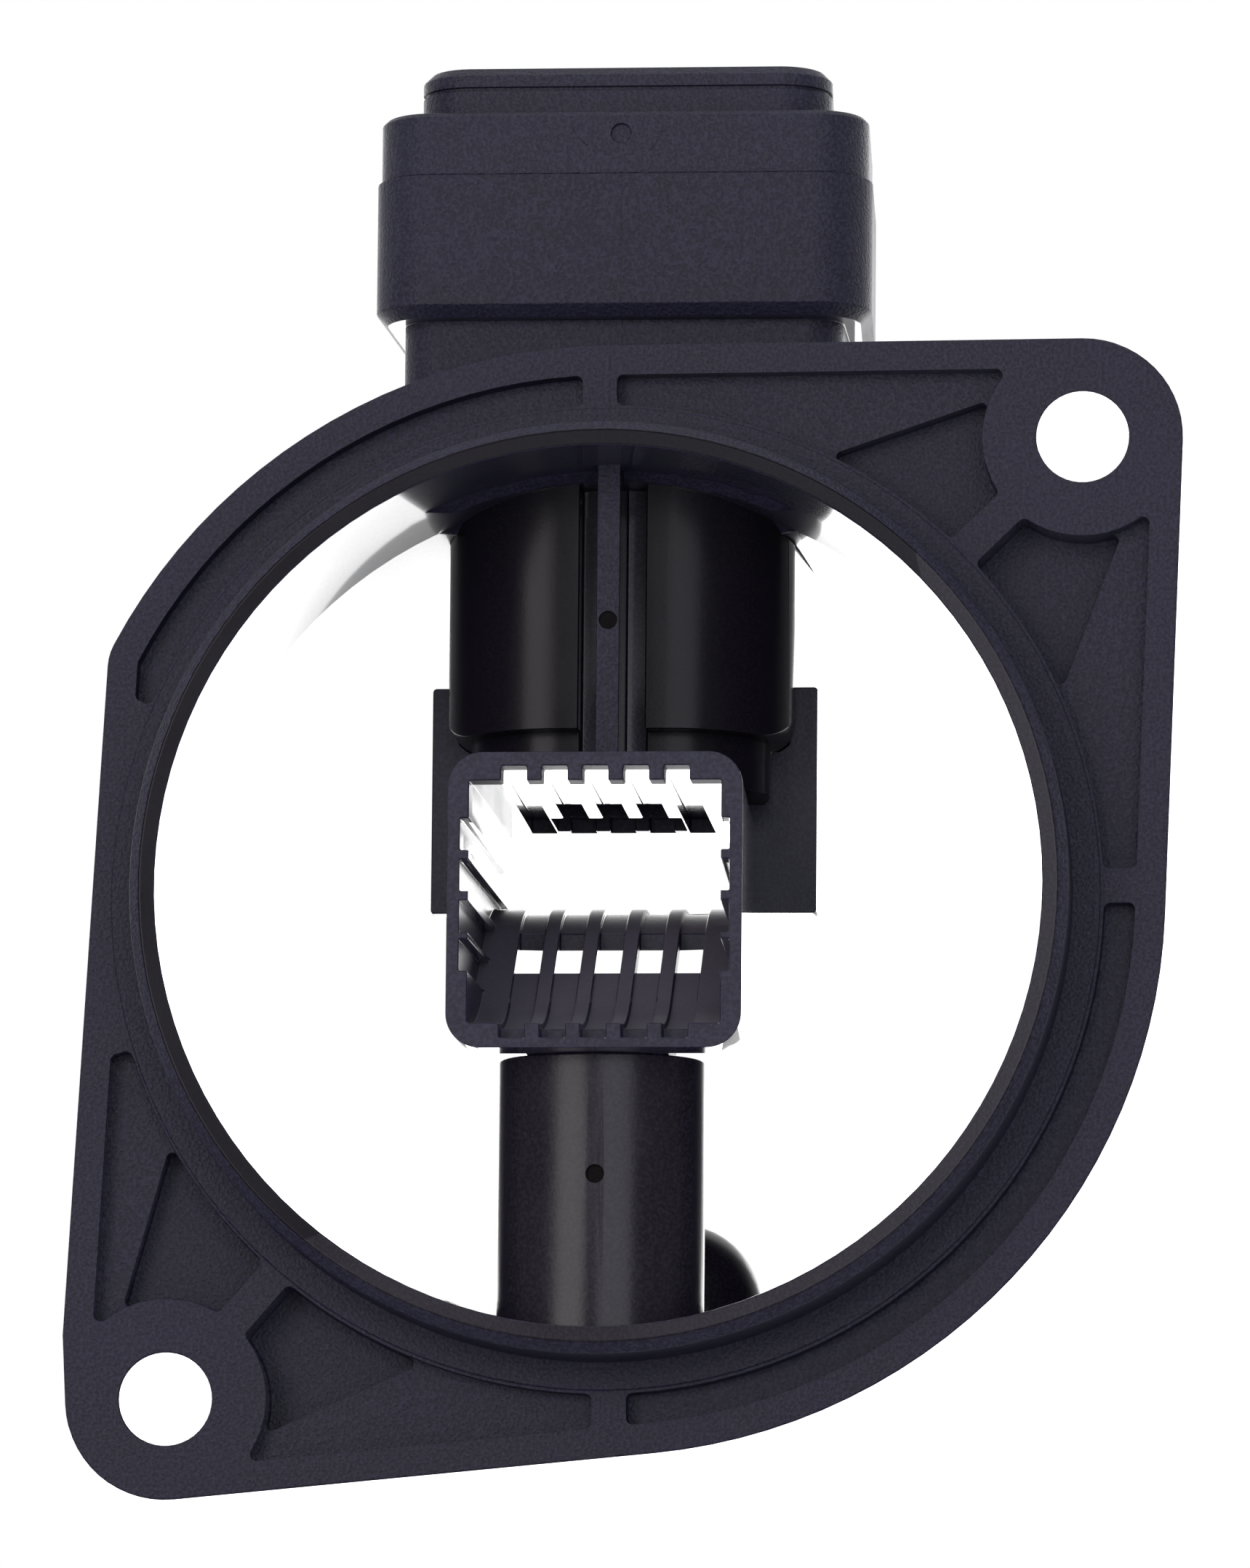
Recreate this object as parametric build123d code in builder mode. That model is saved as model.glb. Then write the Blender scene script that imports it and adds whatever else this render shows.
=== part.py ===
from build123d import *

import os
from math import cos, radians, sin, sqrt

os.makedirs("parts", exist_ok=True)

# Mass airflow sensor: a moulded duct with a flange, a measuring channel and an electronics box.
# Frame: origin on the bore axis in the flange's front face, +Y downstream, +Z up to the
# electronics box, +X to the right seen from the air inlet. All sizes are in millimetres.

# Duct and inlet spigot
bore_r = 33.3
spigot_length = 7.0
spigot_wall = 2.0
spigot_edge = 0.8
throat_step = 0.7
throat_y = 3.6
tail_step = 0.5
tail_y = 9.5
step_length = 1.0
duct_wall = 2.6
duct_end_y = 50.0
bead_y = 44.5
bead_width = 3.4
bead_rise = 1.1

# Flange
flange_t = 5.0
flange_margin = 4.9
boss_wall = 4.1
bolt_margin = 12.8
bolt_angles = (44.2, 229.3)
bolt_hole_r = 3.5
left_lean = 2.9
left_growth = 0.5
left_corner_r = 4.0
seat_ring_width = 2.1
seat_ring_rise = 0.25

# Flange pockets
rim_width = 2.3
pocket_depth = 1.5
deep_pocket_depth = 3.4
pocket_corner_r = 0.5
rib_width = 2.6
rib_angles = (91.0, 1.0, 271.0)
solid_side_angles = (157.0, 198.0)
deep_pocket_spread = 20.3
deep_pocket_reach = 6.2
deep_pocket_turn = 96.0

# Upper column in the bore
column_y = 14.3
lobe_r = 9.3
lobe_spacing = 8.0
lobe_corner_r = 2.3
foot_height = 4.0
column_foot_inset = 1.8
front_groove_width = 5.06
front_groove_y = 8.0
front_rib_width = 1.75
front_rib_y = 1.1
pin_mark_r = 0.7
pin_mark_depth = 0.15
upper_pin_mark_z = 21.3

# Lower column and rounded post
lower_front_r = 10.1
lower_side_r = 5.3
lower_half_depth = 6.0
lower_y = -0.2
lower_pin_mark_z = -21.8
post_x = 4.1
post_y = 25.0
post_r = 6.4
post_centre_z = -28.4

# Neck and electronics box
neck_half = 17.0
neck_front_y = 11.0
neck_rear_y = 31.0
neck_corner_r = 3.0
box_front_half = 19.4
box_rear_half = 18.4
box_front_y = 9.0
box_rear_y = 33.0
box_corner_r = 4.6
box_bottom_z = 46.5
box_height = 11.1
box_bottom_edge = 0.9
box_wall = 2.6
box_floor_t = 2.4
seal_inset = 0.8
seal_width = 1.1
seal_depth = 1.2

# Lid
lid_inset = 0.3
shoulder_height = 5.0
shoulder_edge = 0.4
tier_inset = 3.25
tier_front_inset = 2.4
tier_height = 4.0
tier_corner_r = 4.0
tier_edge = 0.7
tier_groove_drop = 1.9
tier_groove = 0.3
lid_wall = 2.0
gate_mark_r = 0.8
gate_mark_drop = 1.8

# Connector socket
socket_half_width = 13.5
socket_height = 9.6
socket_corner_r = 3.0
socket_wall = 1.6
socket_end_y = 50.0
socket_floor_y = 36.5
latch_width = 5.0
latch_length = 3.0
latch_rise = 1.0
latch_y = 41.0
terminal_count = 5
terminal_pitch = 4.2
terminal_width = 1.5
terminal_t = 0.6
terminal_rise = 1.5
terminal_end_y = 45.6
terminal_foot_y = 28.0

# Flow channel insert
mouth_y = -9.0
mouth_half_width = 11.05
mouth_bottom_z = -12.7
mouth_corner_r = 2.6
mouth_inner_half = 9.45
ceiling_z = 7.45
ceiling_t = 2.15
ramp_start_z = -10.84
ramp_end_y = 18.5
ramp_end_z = 1.2
ramp_knee = (0.22, 0.042)
ramp_crest = (0.738, 0.992)
ramp_bend_r = 14.0
channel_rear_half = 10.2
channel_inner_rear_half = 8.8
floor_t = 1.7
sill_length = 3.4
notch_count = 5
notch_pitch = 3.05
notch_width = 1.93
notch_depth = 1.1
notch_length = 1.6
side_notch_zs = (3.4, 0.3, -2.8, -5.7)
side_notch_height = 2.4
side_notch_depth = 0.65
ramp_groove_depth = 0.4
window_front_y = 3.8
window_rear_y = 8.4
collar_half = 14.9
collar_top_z = 18.8
collar_y = 17.5
collar_t = 2.0
collar_corner_r = 0.3
column_fit = 0.05
plinth_half = 5.4
plinth_rear_y = 2.0

# Measuring chamber and sensing element
chamber_half = 5.0
chamber_front_y = 9.6
chamber_rear_y = 19.0
chamber_top_z = 27.0
inlet_front_y = 10.0
outlet_z = 20.4
carrier_half = 4.4
carrier_t = 1.6
carrier_bottom_z = 16.5
carrier_clearance = 0.15
carrier_head_half = 8.0
carrier_head_margin = 1.4
gasket_width = 0.9
gasket_t = 0.9
film_width = 2.6
film_height = 5.0
film_t = 0.3
film_spacing = 4.0
film_z = 20.5
thermistor_r = 0.8
thermistor_height = 1.5
lead_r = 0.16
lead_length = 1.6
lead_spacing = 0.7

# Electronics
board_clearance = 0.3
board_front_y = 17.4
base_plate_t = 1.2
board_t = 1.0
strip_count = 4
strip_width = 0.5
strip_t = 0.1
strip_pitch = 2.6
strip_reach = 1.6
signal_chip_size = (7.0, 7.0, 1.6)
signal_chip_margin = 8.0
signal_chip_y = 23.2
driver_chip_size = (5.0, 4.0, 1.5)
driver_chip_place = (2.5, 22.0)
capacitor_size = (1.6, 3.2, 1.5)
capacitor_margin = 7.5
capacitor_y = 20.6
capacitor_pitch = 3.2
capacitor_row_pitch = 4.4
capacitor_rows = 2
resistor_size = (1.25, 2.0, 0.5)
resistor_place = (-1.2, 26.2)
resistor_pitch = 2.4
resistor_count = 3
chip_edge = 0.15

# Worked-out sizes
overlap = 1.0
throat_r = bore_r - throat_step
tail_r = throat_r - tail_step
duct_r = tail_r + duct_wall
spigot_r = bore_r + spigot_wall
seat_ring_r = spigot_r + seat_ring_width
flange_r = seat_ring_r + flange_margin
boss_r = bolt_hole_r + boss_wall
bolt_circle_r = seat_ring_r + bolt_margin
wall_middle_r = bore_r + (duct_r - bore_r) / 2
mouth_top_z = ceiling_z + ceiling_t
lobe_bottom_z = mouth_top_z + foot_height
neck_foot_z = sqrt(duct_r**2 - neck_half**2) - duct_wall / 2
tray_floor_z = box_bottom_z + box_floor_t
parting_z = box_bottom_z + box_height
shoulder_z = parting_z + shoulder_height
tier_top_z = shoulder_z + tier_height
board_top_z = tray_floor_z + base_plate_t + board_t
board_half = box_rear_half - box_wall - board_clearance
board_rear_y = box_rear_y - box_wall - board_clearance
socket_z = board_top_z + terminal_rise
bolt_points = [(bolt_circle_r * cos(radians(a)), bolt_circle_r * sin(radians(a))) for a in bolt_angles]
notch_xs = [(i - (notch_count - 1) / 2) * notch_pitch for i in range(notch_count)]
terminal_xs = [(i - (terminal_count - 1) / 2) * terminal_pitch for i in range(terminal_count)]


def front(y):
    """The plane at depth y that faces the air inlet, with +Z up."""
    return Plane.XZ.offset(-y)


def level(z):
    """The horizontal plane at height z."""
    return Plane.XY.offset(z)


def polar(radius, angle, centre=(0, 0)):
    """The point at this radius and angle from a centre."""
    return (centre[0] + radius * cos(radians(angle)), centre[1] + radius * sin(radians(angle)))


def draw_flange_outline(inset=0.0):
    """The flange outline, or a parallel line inside it: a disc with two ears and a flat left side."""
    Circle(flange_r - inset)
    with Locations(*bolt_points):
        Circle(boss_r - inset)
    make_hull()
    tangent = polar(boss_r + left_growth - inset, 180 - left_lean, bolt_points[1])
    with Locations(polar(flange_r, 90 - left_lean, tangent)):
        Rectangle(
            flange_r,
            2 * flange_r,
            rotation=-left_lean,
            align=(Align.MAX, Align.CENTER),
            mode=Mode.SUBTRACT,
        )


def draw_pockets():
    """The pockets between the rim, the seat ring, the bosses and the ribs, in the active sketch."""
    draw_flange_outline(rim_width)
    Circle(seat_ring_r + seat_ring_rise, mode=Mode.SUBTRACT)
    with Locations(*bolt_points):
        Circle(boss_r, mode=Mode.SUBTRACT)
    for angle in rib_angles + bolt_angles:
        Rectangle(
            2 * flange_r,
            rib_width,
            rotation=angle,
            align=(Align.MIN, Align.CENTER),
            mode=Mode.SUBTRACT,
        )
    side_points = [polar(2 * flange_r, angle) for angle in solid_side_angles]
    Polygon((0, 0), *side_points, align=None, mode=Mode.SUBTRACT)


def draw_box_section(inset=0.0, depth_inset=None):
    """The electronics box seen from above, moved in by an inset, in the active sketch."""
    x0, x1 = box_front_half - inset, box_rear_half - inset
    y_inset = inset if depth_inset is None else depth_inset
    y0, y1 = box_front_y + y_inset, box_rear_y - y_inset
    Polygon((-x0, y0), (x0, y0), (x1, y1), (-x1, y1), align=None)


def draw_channel_plan(front_half, rear_half):
    """The channel seen from above, narrowing downstream, in the active sketch."""
    rear_y = collar_y + collar_t
    Polygon((-front_half, mouth_y), (front_half, mouth_y), (rear_half, rear_y), (-rear_half, rear_y), align=None)


def ramp_line(drop=0.0):
    """The rising floor of the channel in side view, lowered by a drop, in the active line."""
    rise = ramp_end_z - ramp_start_z
    run = ramp_end_y - mouth_y
    points = [(0, 0), ramp_knee, ramp_crest, (1, 1)]
    return FilletPolyline(
        *[(mouth_y + a * run, ramp_start_z + b * rise - drop) for a, b in points],
        radius=ramp_bend_r,
    )


def draw_column_section(growth=0.0):
    """The two lobes of the upper column seen from above, in the active sketch."""
    with Locations((0, column_y)):
        SlotCenterToCenter(lobe_spacing, 2 * (lobe_r + growth))


def draw_column_front(growth=0.0):
    """The upper column seen from the inlet, with its rounded lower corners, in the active sketch."""
    width = lobe_spacing + 2 * (lobe_r + growth)
    with Locations((0, lobe_bottom_z - growth)):
        Rectangle(width, bore_r, align=(Align.CENTER, Align.MIN))


def save(part, name):
    """Label a finished piece and write it to its own file."""
    part.label = name
    export_step(part, f"parts/{name}.step")


# Columns and post that stand in the bore, cut off inside the duct wall
with BuildPart() as posts:
    with BuildSketch(level(lobe_bottom_z)):
        draw_column_section()
    extrude(amount=bore_r)
    with BuildSketch(front(column_y)) as column_front:
        draw_column_front()
        fillet(column_front.vertices().group_by(Axis.Y)[0], lobe_corner_r)
    extrude(amount=lobe_r + overlap, both=True, mode=Mode.INTERSECT)
    with BuildSketch(level(mouth_top_z)):
        draw_column_section(-column_foot_inset)
    extrude(amount=lobe_bottom_z - mouth_top_z + overlap)
    with BuildSketch(level(mouth_top_z)):
        with Locations((0, front_groove_y)):
            Rectangle(front_groove_width, lobe_r, align=(Align.CENTER, Align.MAX))
    extrude(amount=2 * bore_r, mode=Mode.SUBTRACT)
    with BuildSketch(level(mouth_top_z)):
        with Locations((0, front_rib_y)):
            Rectangle(front_rib_width, front_groove_y - front_rib_y + overlap, align=(Align.CENTER, Align.MIN))
    extrude(amount=bore_r)
    with BuildSketch(level(mouth_bottom_z)) as lower_section:
        with Locations((0, lower_y + lower_front_r - lower_half_depth)):
            Circle(lower_front_r)
        with Locations((0, lower_y - lower_front_r + lower_half_depth)):
            Circle(lower_front_r, mode=Mode.INTERSECT)
        fillet(lower_section.vertices(), lower_side_r)
    extrude(amount=-bore_r)
    with BuildSketch(level(post_centre_z)):
        with Locations((post_x, post_y)):
            Circle(post_r)
    extrude(amount=-bore_r)
    with Locations((post_x, post_y, post_centre_z)):
        Sphere(post_r)
    with BuildSketch(front(mouth_y)):
        Circle(wall_middle_r)
    extrude(amount=mouth_y - duct_end_y, mode=Mode.INTERSECT)

# Hollows in the flange's front face: shallow pockets, with a deeper floor beside each boss
with BuildPart() as pocket_cut:
    with BuildSketch(front(0)) as pockets:
        draw_pockets()
        fillet(pockets.vertices(), pocket_corner_r)
    extrude(amount=-pocket_depth)
    for centre, angle in zip(bolt_points, bolt_angles):
        for side in (1, -1):
            near = polar(seat_ring_r, angle + side * deep_pocket_spread)
            far = polar(deep_pocket_reach, angle + side * deep_pocket_turn, centre)
            with BuildSketch(front(0)) as deep_pocket:
                draw_pockets()
                Polygon((0, 0), near, far, centre, align=None, mode=Mode.INTERSECT)
                fillet(deep_pocket.vertices(), pocket_corner_r)
            extrude(amount=-deep_pocket_depth)

# Seal bead that fills the groove in the tray's rim
with BuildPart() as lid_seal:
    with BuildSketch(level(parting_z - seal_depth)) as bead_section:
        draw_box_section(seal_inset)
        fillet(bead_section.vertices(), box_corner_r - seal_inset)
    extrude(amount=seal_depth)
    with BuildSketch(level(parting_z - seal_depth)) as bead_hollow:
        draw_box_section(seal_inset + seal_width)
        fillet(bead_hollow.vertices(), box_corner_r - seal_inset - seal_width)
    extrude(amount=seal_depth, mode=Mode.SUBTRACT)
save(lid_seal.part, "lid_seal")

# Housing: duct, flange, neck, electronics box, socket and columns in one moulding
with BuildPart() as housing:
    with BuildSketch(level(box_bottom_z)) as box_section:
        draw_box_section()
        fillet(box_section.vertices(), box_corner_r)
    extrude(amount=box_height)
    chamfer(housing.edges().group_by(Axis.Z)[0], box_bottom_edge)
    with BuildSketch(level(tray_floor_z)) as tray:
        draw_box_section(box_wall)
        fillet(tray.vertices(), box_corner_r - box_wall)
    extrude(amount=parting_z - tray_floor_z, mode=Mode.SUBTRACT)
    add(lid_seal.part, mode=Mode.SUBTRACT)

    # Flange
    with BuildSketch(front(0)) as outline:
        draw_flange_outline()
        left_corner = outline.vertices().filter_by(lambda v: v.Y > 0).sort_by(Axis.X)[0]
        fillet(left_corner, left_corner_r)
    extrude(amount=-flange_t)

    # Neck between the duct and the box
    with BuildSketch(level(neck_foot_z)):
        with Locations((0, (neck_front_y + neck_rear_y) / 2)):
            RectangleRounded(2 * neck_half, neck_rear_y - neck_front_y, neck_corner_r)
    extrude(amount=box_bottom_z + box_floor_t / 2 - neck_foot_z)

    # Duct with its inlet spigot, seat ring and hose bead
    with BuildSketch(Plane.XY):
        with BuildLine():
            Polyline(
                (0, -spigot_length),
                (spigot_r - spigot_edge, -spigot_length),
                (spigot_r, spigot_edge - spigot_length),
                (spigot_r, -seat_ring_rise),
                (seat_ring_r, -seat_ring_rise),
                (seat_ring_r, pocket_depth / 2),
                (duct_r, pocket_depth / 2),
                (duct_r, bead_y - bead_width / 2),
                (duct_r + bead_rise, bead_y),
                (duct_r, bead_y + bead_width / 2),
                (duct_r, duct_end_y),
                (0, duct_end_y),
                close=True,
            )
        make_face()
    revolve(axis=Axis.Y)

    # Connector socket behind the box, with its latch ramp
    with BuildSketch(front(socket_end_y)):
        with Locations((0, socket_z)):
            RectangleRounded(2 * socket_half_width, socket_height, socket_corner_r)
    extrude(amount=socket_end_y - box_rear_y + seal_inset / 2)
    with BuildSketch(Plane.YZ):
        with Locations((latch_y, socket_z + socket_height / 2)):
            Polygon((0, -overlap), (0, latch_rise), (latch_length, 0), (latch_length, -overlap), align=None)
    extrude(amount=latch_width / 2, both=True)

    # Bore, with its two steps, and the columns inside it
    with BuildSketch(Plane.XY):
        with BuildLine():
            Polyline(
                (0, -spigot_length - overlap),
                (bore_r, -spigot_length - overlap),
                (bore_r, throat_y),
                (throat_r, throat_y + step_length),
                (throat_r, tail_y),
                (tail_r, tail_y + step_length),
                (tail_r, duct_end_y + overlap),
                (0, duct_end_y + overlap),
                close=True,
            )
        make_face()
    revolve(axis=Axis.Y, mode=Mode.SUBTRACT)
    add(posts.part)

    # Pockets and bolt holes
    add(pocket_cut.part, mode=Mode.SUBTRACT)
    with BuildSketch(front(0)):
        with Locations(*bolt_points):
            Circle(bolt_hole_r)
    extrude(amount=-flange_t, mode=Mode.SUBTRACT)

    # Hollow of the socket and the slots for its terminals
    with BuildSketch(front(socket_end_y)):
        with Locations((0, socket_z)):
            RectangleRounded(
                2 * (socket_half_width - socket_wall),
                socket_height - 2 * socket_wall,
                socket_corner_r - socket_wall,
            )
    extrude(amount=socket_end_y - socket_floor_y, mode=Mode.SUBTRACT)
    with BuildSketch(front(socket_floor_y)):
        with Locations(*[(x, socket_z) for x in terminal_xs]):
            Rectangle(terminal_width, terminal_t)
    extrude(amount=socket_floor_y - box_rear_y + box_wall, mode=Mode.SUBTRACT)

    # Measuring chamber in the column, its outlet, and the passage of the sensor carrier
    with BuildSketch(level(mouth_top_z)):
        with Locations((0, chamber_front_y)):
            Rectangle(2 * chamber_half, chamber_rear_y - chamber_front_y, align=(Align.CENTER, Align.MIN))
    extrude(amount=chamber_top_z - mouth_top_z, mode=Mode.SUBTRACT)
    with BuildSketch(front(chamber_rear_y)):
        with Locations((0, outlet_z)):
            Rectangle(2 * chamber_half, chamber_top_z - outlet_z, align=(Align.CENTER, Align.MIN))
    extrude(amount=chamber_rear_y - column_y - lobe_r - overlap, mode=Mode.SUBTRACT)
    with BuildSketch(level(chamber_top_z)):
        with Locations((0, column_y)):
            Rectangle(2 * (carrier_half + carrier_clearance), carrier_t + 2 * carrier_clearance)
    extrude(amount=tray_floor_z - chamber_top_z, mode=Mode.SUBTRACT)
    with BuildSketch(level(tray_floor_z)):
        with Locations((0, column_y)):
            Rectangle(2 * (carrier_half + gasket_width), carrier_t + 2 * gasket_width)
    extrude(amount=-gasket_t, mode=Mode.SUBTRACT)

    # Round marks that the ejector pins leave on the rib and on the lower column
    with BuildSketch(front(front_rib_y)):
        with Locations((0, upper_pin_mark_z)):
            Circle(pin_mark_r)
    extrude(amount=-pin_mark_depth, mode=Mode.SUBTRACT)
    with BuildSketch(front(lower_y - lower_half_depth)):
        with Locations((0, lower_pin_mark_z)):
            Circle(pin_mark_r)
    extrude(amount=-2 * pin_mark_depth, mode=Mode.SUBTRACT)
save(housing.part, "housing")

# Passage of the flow channel: the mouth, its notches and the grooved ramp
with BuildPart() as passage:
    with BuildSketch(level(ramp_start_z)):
        draw_channel_plan(mouth_inner_half, channel_inner_rear_half)
    extrude(amount=ceiling_z - ramp_start_z)
    for notch_z in side_notch_zs:
        with BuildSketch(level(notch_z - side_notch_height / 2)):
            draw_channel_plan(mouth_inner_half + side_notch_depth, channel_inner_rear_half + side_notch_depth)
        extrude(amount=side_notch_height)
    with BuildSketch(Plane.YZ):
        with BuildLine():
            floor = ramp_line()
            Polyline(
                floor @ 1,
                (ramp_end_y + overlap, ramp_end_z),
                (ramp_end_y + overlap, ceiling_z),
                (mouth_y, ceiling_z),
                floor @ 0,
            )
        make_face()
    extrude(amount=mouth_half_width, both=True, mode=Mode.INTERSECT)
    with BuildSketch(front(mouth_y)):
        with Locations(*[(x, ceiling_z - overlap) for x in notch_xs]):
            Rectangle(notch_width, notch_depth + overlap, align=(Align.CENTER, Align.MIN))
    extrude(amount=mouth_y - collar_y)
    with BuildSketch(front(mouth_y)):
        with Locations(*[(x, ramp_start_z - notch_depth) for x in notch_xs]):
            Rectangle(notch_width, notch_depth + overlap, align=(Align.CENTER, Align.MIN))
    extrude(amount=-notch_length)
    with BuildSketch(*[Plane.YZ.offset(x - notch_width / 2) for x in notch_xs]):
        with BuildLine():
            low = ramp_line(ramp_groove_depth)
            Polyline(low @ 1, (ramp_end_y, ceiling_z), (mouth_y, ceiling_z), low @ 0)
        make_face()
    extrude(amount=notch_width)
    with BuildSketch(level(mouth_bottom_z)):
        with Locations(*[(x, window_front_y) for x in notch_xs]):
            Rectangle(notch_width, window_rear_y - window_front_y, align=(Align.CENTER, Align.MIN))
    extrude(amount=ceiling_z - mouth_bottom_z)
    with BuildSketch(level(ceiling_z)):
        with Locations((0, inlet_front_y)):
            Rectangle(2 * chamber_half, collar_y - inlet_front_y - overlap, align=(Align.CENTER, Align.MIN))
    extrude(amount=mouth_top_z - ceiling_z)

# Flow channel: the scoop, its rising floor and the collar that grips the column, in one insert
with BuildPart() as flow_channel:
    with BuildSketch(level(mouth_bottom_z)):
        draw_channel_plan(mouth_half_width, channel_rear_half)
    extrude(amount=mouth_top_z - mouth_bottom_z)
    side_faces = flow_channel.faces().sort_by(Axis.X)
    fillet(side_faces[0].edges().filter_by(Axis.Z, reverse=True), mouth_corner_r)
    side_faces = flow_channel.faces().sort_by(Axis.X)
    fillet(side_faces[-1].edges().filter_by(Axis.Z, reverse=True), mouth_corner_r)
    with BuildSketch(Plane.YZ):
        with BuildLine():
            under = ramp_line(floor_t)
            Polyline(
                under @ 1,
                (ramp_end_y + overlap, ramp_end_z - floor_t),
                (ramp_end_y + overlap, mouth_bottom_z),
                (mouth_y, mouth_bottom_z),
                under @ 0,
            )
        make_face()
        with Locations((mouth_y, mouth_bottom_z)):
            Rectangle(sill_length, ceiling_z - mouth_bottom_z, align=(Align.MIN, Align.MIN), mode=Mode.SUBTRACT)
    extrude(amount=mouth_half_width, both=True, mode=Mode.SUBTRACT)
    with BuildSketch(Plane.YZ):
        with BuildLine():
            inside = ramp_line(floor_t / 2)
            Polyline(inside @ 1, (ramp_end_y, mouth_bottom_z), (mouth_y, mouth_bottom_z), inside @ 0)
        make_face()
        with Locations((plinth_rear_y, mouth_bottom_z)):
            Rectangle(2 * bore_r, 2 * bore_r, align=(Align.MIN, Align.CENTER), mode=Mode.SUBTRACT)
    extrude(amount=plinth_half, both=True)
    with BuildSketch(front(collar_y)) as collar:
        with Locations((0, ramp_end_z)):
            Rectangle(2 * collar_half, collar_top_z - ramp_end_z, align=(Align.CENTER, Align.MIN))
        fillet(collar.vertices(), collar_corner_r)
    extrude(amount=-collar_t)
    with BuildSketch(level(mouth_top_z)):
        draw_column_section(column_fit - column_foot_inset)
    extrude(amount=collar_top_z - mouth_top_z, mode=Mode.SUBTRACT)
    with BuildPart(mode=Mode.PRIVATE) as column_space:
        with BuildSketch(level(lobe_bottom_z - column_fit)):
            draw_column_section(column_fit)
        extrude(amount=bore_r)
        with BuildSketch(front(column_y)) as space_front:
            draw_column_front(column_fit)
            fillet(space_front.vertices().group_by(Axis.Y)[0], lobe_corner_r + column_fit)
        extrude(amount=lobe_r + overlap, both=True, mode=Mode.INTERSECT)
    add(column_space.part, mode=Mode.SUBTRACT)
    add(passage.part, mode=Mode.SUBTRACT)
save(flow_channel.part, "flow_channel")

# Lid of the electronics box, with its raised tier
with BuildPart() as lid:
    with BuildSketch(level(parting_z)) as lid_section:
        draw_box_section(lid_inset)
        fillet(lid_section.vertices(), box_corner_r - lid_inset)
    extrude(amount=shoulder_height)
    chamfer(lid.edges().group_by(Axis.Z)[-1], shoulder_edge)
    with BuildSketch(level(shoulder_z - lid_wall)) as tier_section:
        draw_box_section(tier_inset, tier_front_inset)
        fillet(tier_section.vertices(), tier_corner_r)
    extrude(amount=tier_height + lid_wall)
    chamfer(lid.edges().group_by(Axis.Z)[-1], tier_edge)
    with BuildSketch(level(tier_top_z - tier_groove_drop)) as line_section:
        draw_box_section(tier_inset, tier_front_inset)
        fillet(line_section.vertices(), tier_corner_r)
        offset(amount=-tier_groove, mode=Mode.SUBTRACT)
    extrude(amount=tier_groove, mode=Mode.SUBTRACT)
    with BuildSketch(level(parting_z)) as lid_hollow:
        draw_box_section(box_wall)
        fillet(lid_hollow.vertices(), box_corner_r - box_wall)
    extrude(amount=shoulder_z - lid_wall - parting_z, mode=Mode.SUBTRACT)
    with BuildSketch(level(parting_z)) as tier_hollow:
        draw_box_section(tier_inset + lid_wall, tier_front_inset + lid_wall)
        fillet(tier_hollow.vertices(), tier_corner_r - lid_wall)
    extrude(amount=tier_top_z - lid_wall - parting_z, mode=Mode.SUBTRACT)
    with BuildSketch(front(box_front_y + lid_inset)):
        with Locations((0, shoulder_z - gate_mark_drop)):
            Circle(gate_mark_r)
    extrude(amount=-tier_groove, mode=Mode.SUBTRACT)
save(lid.part, "lid")

# Aluminium base plate on the tray's floor and the circuit board on it
for name, bottom_z, thickness in (
    ("base_plate", tray_floor_z, base_plate_t),
    ("circuit_board", tray_floor_z + base_plate_t, board_t),
):
    with BuildPart() as plate:
        with BuildSketch(level(bottom_z)):
            with Locations((0, (board_front_y + board_rear_y) / 2)):
                RectangleRounded(2 * board_half, board_rear_y - board_front_y, box_corner_r - box_wall)
        extrude(amount=thickness)
    save(plate.part, name)

# Chips on the board
component_places = [
    ("signal_chip", signal_chip_size, signal_chip_margin - board_half, signal_chip_y),
    ("driver_chip", driver_chip_size, *driver_chip_place),
]
for i in range(2 * capacitor_rows):
    x = board_half - capacitor_margin + (i % 2) * capacitor_pitch
    y = capacitor_y + (i // 2) * capacitor_row_pitch
    component_places.append((f"capacitor_{i + 1}", capacitor_size, x, y))
for i in range(resistor_count):
    x = resistor_place[0] + i * resistor_pitch
    component_places.append((f"resistor_{i + 1}", resistor_size, x, resistor_place[1]))
for name, size, x, y in component_places:
    with BuildPart() as component:
        with Locations((x, y, board_top_z)):
            Box(*size, align=(Align.CENTER, Align.CENTER, Align.MIN))
        chamfer(component.edges().group_by(Axis.Z)[-1], chip_edge)
    save(component.part, name)

# Terminals: straight blades through the rear wall, each with a foot on the board
for i, x in enumerate(terminal_xs):
    with BuildPart() as terminal:
        with Locations((x, terminal_foot_y, socket_z)):
            Box(
                terminal_width,
                terminal_end_y - terminal_foot_y,
                terminal_t,
                align=(Align.CENTER, Align.MIN, Align.CENTER),
            )
        chamfer(terminal.edges().group_by(Axis.Y)[-1], terminal_t / 3)
        with Locations((x, terminal_foot_y, board_top_z)):
            Box(
                terminal_width,
                terminal_t,
                socket_z - board_top_z,
                align=(Align.CENTER, Align.MIN, Align.MIN),
            )
    save(terminal.part, f"terminal_{i + 1}")

# Sensor carrier: a tongue that hangs into the measuring chamber from a head on the tray's floor
with BuildPart() as sensor_carrier:
    with BuildSketch(level(carrier_bottom_z)):
        with Locations((0, column_y)):
            Rectangle(2 * carrier_half, carrier_t)
    extrude(amount=tray_floor_z - carrier_bottom_z)
    with BuildSketch(level(tray_floor_z)):
        with Locations((0, column_y)):
            Rectangle(2 * carrier_head_half, carrier_t + 2 * carrier_head_margin)
    extrude(amount=base_plate_t + board_t)
save(sensor_carrier.part, "sensor_carrier")

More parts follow.
